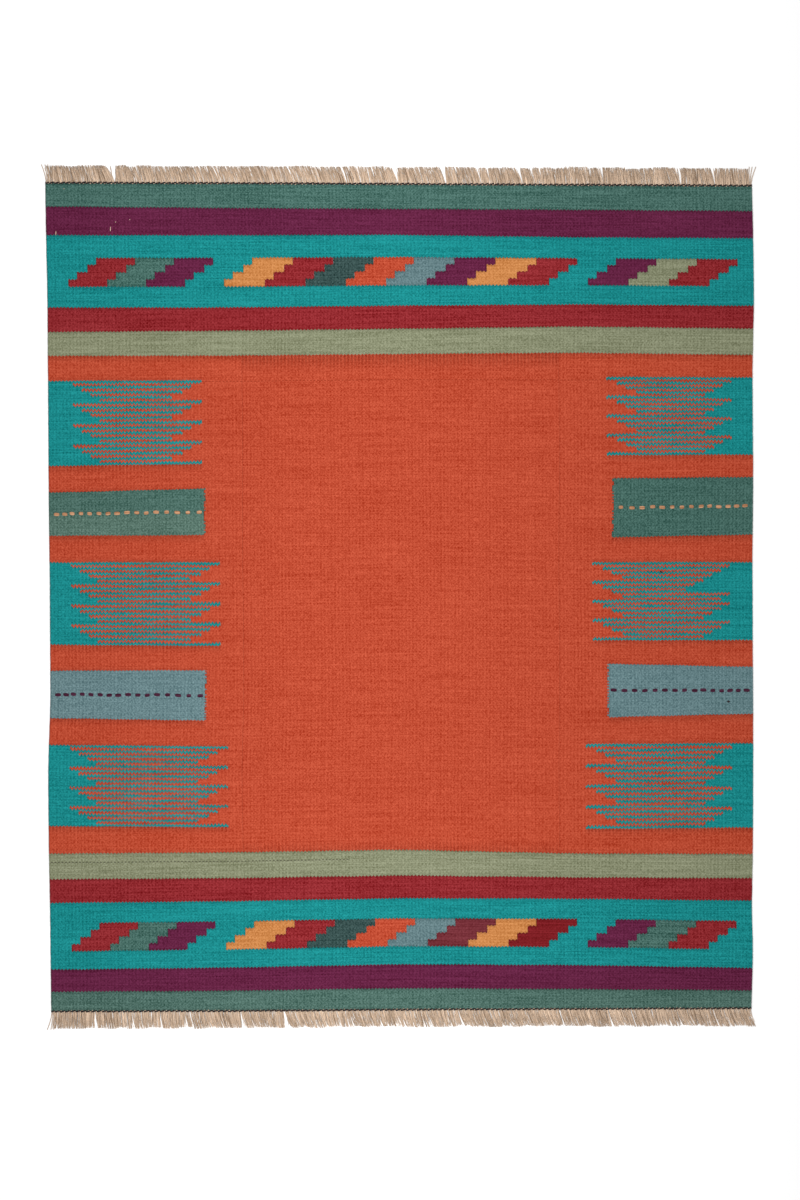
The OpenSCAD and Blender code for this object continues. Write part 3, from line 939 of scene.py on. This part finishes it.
# ---------------------------------------------------------------------------- selvedge yarns
# Inside each selvedge run three thicker warps of undyed wool, side by side, which every weft turns
# round. They are hidden in the cloth and come out at both ends as part of the fringe.
SELVEDGE_YARNS = 3
SELVEDGE_POINTS = 160
SELVEDGE_R = 1.05
SELVEDGE_FIRST = 0.5
SELVEDGE_STEP = 0.62
WARP_Z = 1.5
UNDYED = "#af957c"

undyed_yarn = yarn_material("undyed_wool_warp_yarn", UNDYED, 62)
black_yarn = yarn_material("black_wool_cord", "#241c1d", 18)

for side in ("left", "right"):
    node = side + "_selvedge_yarns"
    top, foot = node_lines(node)
    lane = SELVEDGE_FIRST + SELVEDGE_STEP * np.arange(SELVEDGE_YARNS)[:, None]
    u = lane if side == "left" else WARPS - lane
    v = np.linspace(top - 1, foot + 1, SELVEDGE_POINTS)[None, :]
    x, y = place(u + 0 * v, v + 0 * u)
    past = np.maximum(np.maximum(v - HEAD_EDGE, FOOT_EDGE - v), 0)
    sway = np.array([-1.0, 0.3, 1.2])[:, None] * (1 if side == "left" else -1)
    x = x + (sway - (1.5 if side == "left" else -1.5)) * (past / 15) ** 1.5
    z = WARP_Z - 0.3 * np.clip(past / 20, 0, 1) + lift(x, y)
    radii = SELVEDGE_R * (1 - 0.35 * np.clip(past / 44, 0, 1)) + 0 * x
    points, faces = tubes(np.stack([x, y, z], -1), radii, 6, 0.7)
    yarns = new_piece(node + "_wool", points, faces, undyed_yarn)
    tone_points(yarns, np.full(len(points), 0.5))
    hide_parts(node)

# ---------------------------------------------------------------------------- flaws in the weave
# In the green and purple head bands the weft has parted here and there, so a little of an undyed
# warp shows. Two small knots of dark wool, where a weft was joined, stand on a comb and a tab on
# the right. Each place is its warp, its line and its length.
BARE_WARPS = [(5.5, 873, 12), (36.5, 882, 16), (10.5, 979, 4), (39.5, 898, 4), (47.5, 904, 4)]
KNOTS = [(348, 60, 4), (386, -252, 6)]
SPOT_POINTS = 5

spot = np.linspace(-1, 1, SPOT_POINTS)
for name, spots, width, stand, slot, material in (
    ("bare_warp_spots", BARE_WARPS, 0.75, 0.0, "undyed_warp", undyed_yarn),
    ("dark_wool_knots", KNOTS, 3.2, 0.4, "black_cord", black_yarn),
):
    u, v, length = np.array(spots, float).T
    u = u[:, None] + 0.1 * spot
    v = v[:, None] + length[:, None] / 2 * spot
    x, y = place(u, v)
    z = CLOTH_T + stand - 0.35 * spot**2 + lift(x, y)
    radii = width * np.sqrt(1.05 - spot**2) + 0 * x
    points, faces = tubes(np.stack([x, y, z], -1), radii, 8, 0.45)
    flaws = new_piece(name, points, faces, material)
    tone_points(flaws, np.full(len(points), 0.75))

# ---------------------------------------------------------------------------- twined end cords
# Two dark wool yarns are twined across each end to lock the last weft. They pass over and under
# three warps at a time and cross between the groups, so each shows as a row of slanting dashes.
CORD_DEPTH = 4.0
CORD_R = 1.65
CORD_FLATNESS = 0.42
CORD_SWING = 1.5
CORD_WARPS = 3
CORD_POINTS_A_GROUP = 8

crossings = [0, *range(2, WARPS - 2, CORD_WARPS), WARPS - 2, WARPS]
turns = np.arange(len(crossings))
steps = np.linspace(0, len(crossings) - 1, (len(crossings) - 1) * CORD_POINTS_A_GROUP + 1)
u = np.interp(steps, turns, crossings)
for end, edge in (("head", HEAD_EDGE), ("foot", FOOT_EDGE)):
    line = edge - CORD_DEPTH / 2 if end == "head" else edge + CORD_DEPTH / 2
    paths = []
    for start in (0, 1):
        x, y = place(u, np.full(u.shape, line))
        swing = np.cos(np.pi * (steps + start))
        rise = np.sin(np.pi * (steps + start))
        y = y - swing * CORD_SWING
        z = WARP_Z + 0.15 + np.sign(rise) * abs(rise) ** 0.7 * 1.15 + lift(x, y)
        paths.append(np.stack([x, y, np.maximum(z, 0.62)], -1))
    paths = np.array(paths)
    points, faces = tubes(paths, np.full(paths.shape[:2], CORD_R), 8, CORD_FLATNESS)
    cord = new_piece(end + "_twined_cord", points, faces, black_yarn)
    tone_points(cord, 0.5 + 0.3 * (chance(np.repeat(np.floor(np.tile(steps, 2)), 8), 9) - 0.5))
    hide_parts(end + "_twining")

# ---------------------------------------------------------------------------- fringes
# The warps come out through the twined cord and are cut off about 44 mm from it. They are undyed
# wool, and each has opened into loose plies that fan out, lean in tufts and lie on the floor.
PLIES_A_WARP = 8
PLY_POINTS = 6
PLY_R = 0.84
# Lean of the tips in millimetres, + to the right, at some warps from the left selvedge.
HEAD_LEAN = [(0, -7), (30, -12), (120, -15), (200, -13), (280, -9), (330, -4), (360, -9), (400, -1)]
FOOT_LEAN = [(0, -6), (14, 2), (60, 5), (110, 11), (180, 12), (260, 15), (340, 13), (400, 15)]
# Partings: the warp they stand at, and how far the tips on each side of them are pushed away.
HEAD_PARTS = [
    (23, 2.5), (39.5, 14), (100, 2), (171, 4), (179, 4), (200, 7), (227, 7), (247, 4), (252, 3),
    (270, 5), (277, 3), (281, 3), (316, 4), (360, 10), (379, 5),
]
FOOT_PARTS = [
    (25, 4), (46, 4), (62, 3), (76, 3), (108, 5), (133, 9), (170, 3), (196, 4), (214, 4),
    (232, 3), (290, 3), (318, 3),
]
PARTING_REACH = 5.0
TUFT_WARPS = 7.0
TUFT_LEAN = 4.5
TURN_FAN = 2.4
STRAY = 2.3
# Unevenness of the cut: by tuft and by ply, and the shortest ply.
CUT_BACK = 1.5
TUFT_CUT = 4.0
PLY_CUT = 2.6
SHORTEST_PLY = 18
PLY_HUMP = 1.9
PALE_SHARE = 0.08
# A few strands stand alone in the widest partings.
LONE_STRANDS = {"head": [38.4, 359, 361.5], "foot": [134.5]}

for end, seed, edge, lean, parts in (
    ("head", 11, HEAD_EDGE, HEAD_LEAN, HEAD_PARTS),
    ("foot", 23, FOOT_EDGE, FOOT_LEAN, FOOT_PARTS),
):
    rng = np.random.default_rng(seed)
    out = 1 if end == "head" else -1
    fringe_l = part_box("warp_yarns")[1][1] * 1000 - HEAD_EDGE
    warp = np.repeat(np.arange(2, WARPS - 2), PLIES_A_WARP)
    lone = np.repeat(LONE_STRANDS[end], 3)
    root = np.concatenate([warp + 0.5 + rng.uniform(-0.3, 0.3, len(warp)), lone])
    plies = len(root)
    group = np.floor((root - 2) / CORD_WARPS)
    in_group = (root - 2) / CORD_WARPS - group - 0.5
    tuft = np.floor((root + 2 * np.sin(root / 7)) / TUFT_WARPS)
    tuft_lean = TUFT_LEAN * (chance(tuft, 21 + seed) - 0.5)
    reach = np.interp(root, *np.array(lean).T) + tuft_lean + in_group * TURN_FAN
    reach = reach + rng.normal(0, STRAY, plies)
    for at, push in parts:
        away = root - at
        reach = reach + np.sign(away) * push * np.exp(-abs(away) / PARTING_REACH)
    reach[len(warp) :] = np.interp(lone, *np.array(lean).T) * 0.55 + rng.normal(0, 1.0, len(lone))
    length = fringe_l - CUT_BACK - TUFT_CUT * chance(tuft, 31 + seed)
    length = length - rng.exponential(PLY_CUT, plies)
    length = np.clip(length, SHORTEST_PLY, fringe_l - 0.5)
    t = np.linspace(0, 1, PLY_POINTS)[None, :]
    start = edge - out * (CORD_DEPTH + 0.8)
    x, y = place(root, np.full(plies, start))
    curl = rng.uniform(0.2, 1.3, (plies, 1)) * np.sin(
        2 * np.pi * (rng.uniform(0.5, 1.3, (plies, 1)) * t + rng.uniform(0, 1, (plies, 1)))
    )
    path_x = x[:, None] + reach[:, None] * t**1.35 + curl * t
    path_y = y[:, None] + out * (length + CORD_DEPTH + 0.8)[:, None] * t
    hump = rng.uniform(0, PLY_HUMP, (plies, 1)) * np.sin(np.pi * np.clip(1.15 * t - 0.15, 0, 1)) ** 1.2
    path_z = WARP_Z - 0.8 * np.clip(t * 1.4 - 0.2, 0, 1) + hump
    radii = PLY_R * rng.uniform(0.75, 1.2, (plies, 1)) * (1 - 0.62 * t**1.5)
    path_z = np.maximum(path_z, radii + 0.05)
    points, faces = tubes(np.stack([path_x, path_y, path_z], -1), radii, 4)
    fringe = new_piece(end + "_fringe_wool", points, faces, undyed_yarn)
    tone = 0.5 + rng.normal(0, 0.17, plies) + 0.12 * (chance(tuft, 41) - 0.5)
    pale = rng.uniform(0, 1, plies) < PALE_SHARE
    tone = np.where(pale, rng.uniform(0.8, 1.0, plies), tone)
    tone_points(fringe, np.repeat(tone, PLY_POINTS * 4))
    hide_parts("warp_yarns")
    node = end + "_green_band"
    band, area = end_bands[node]
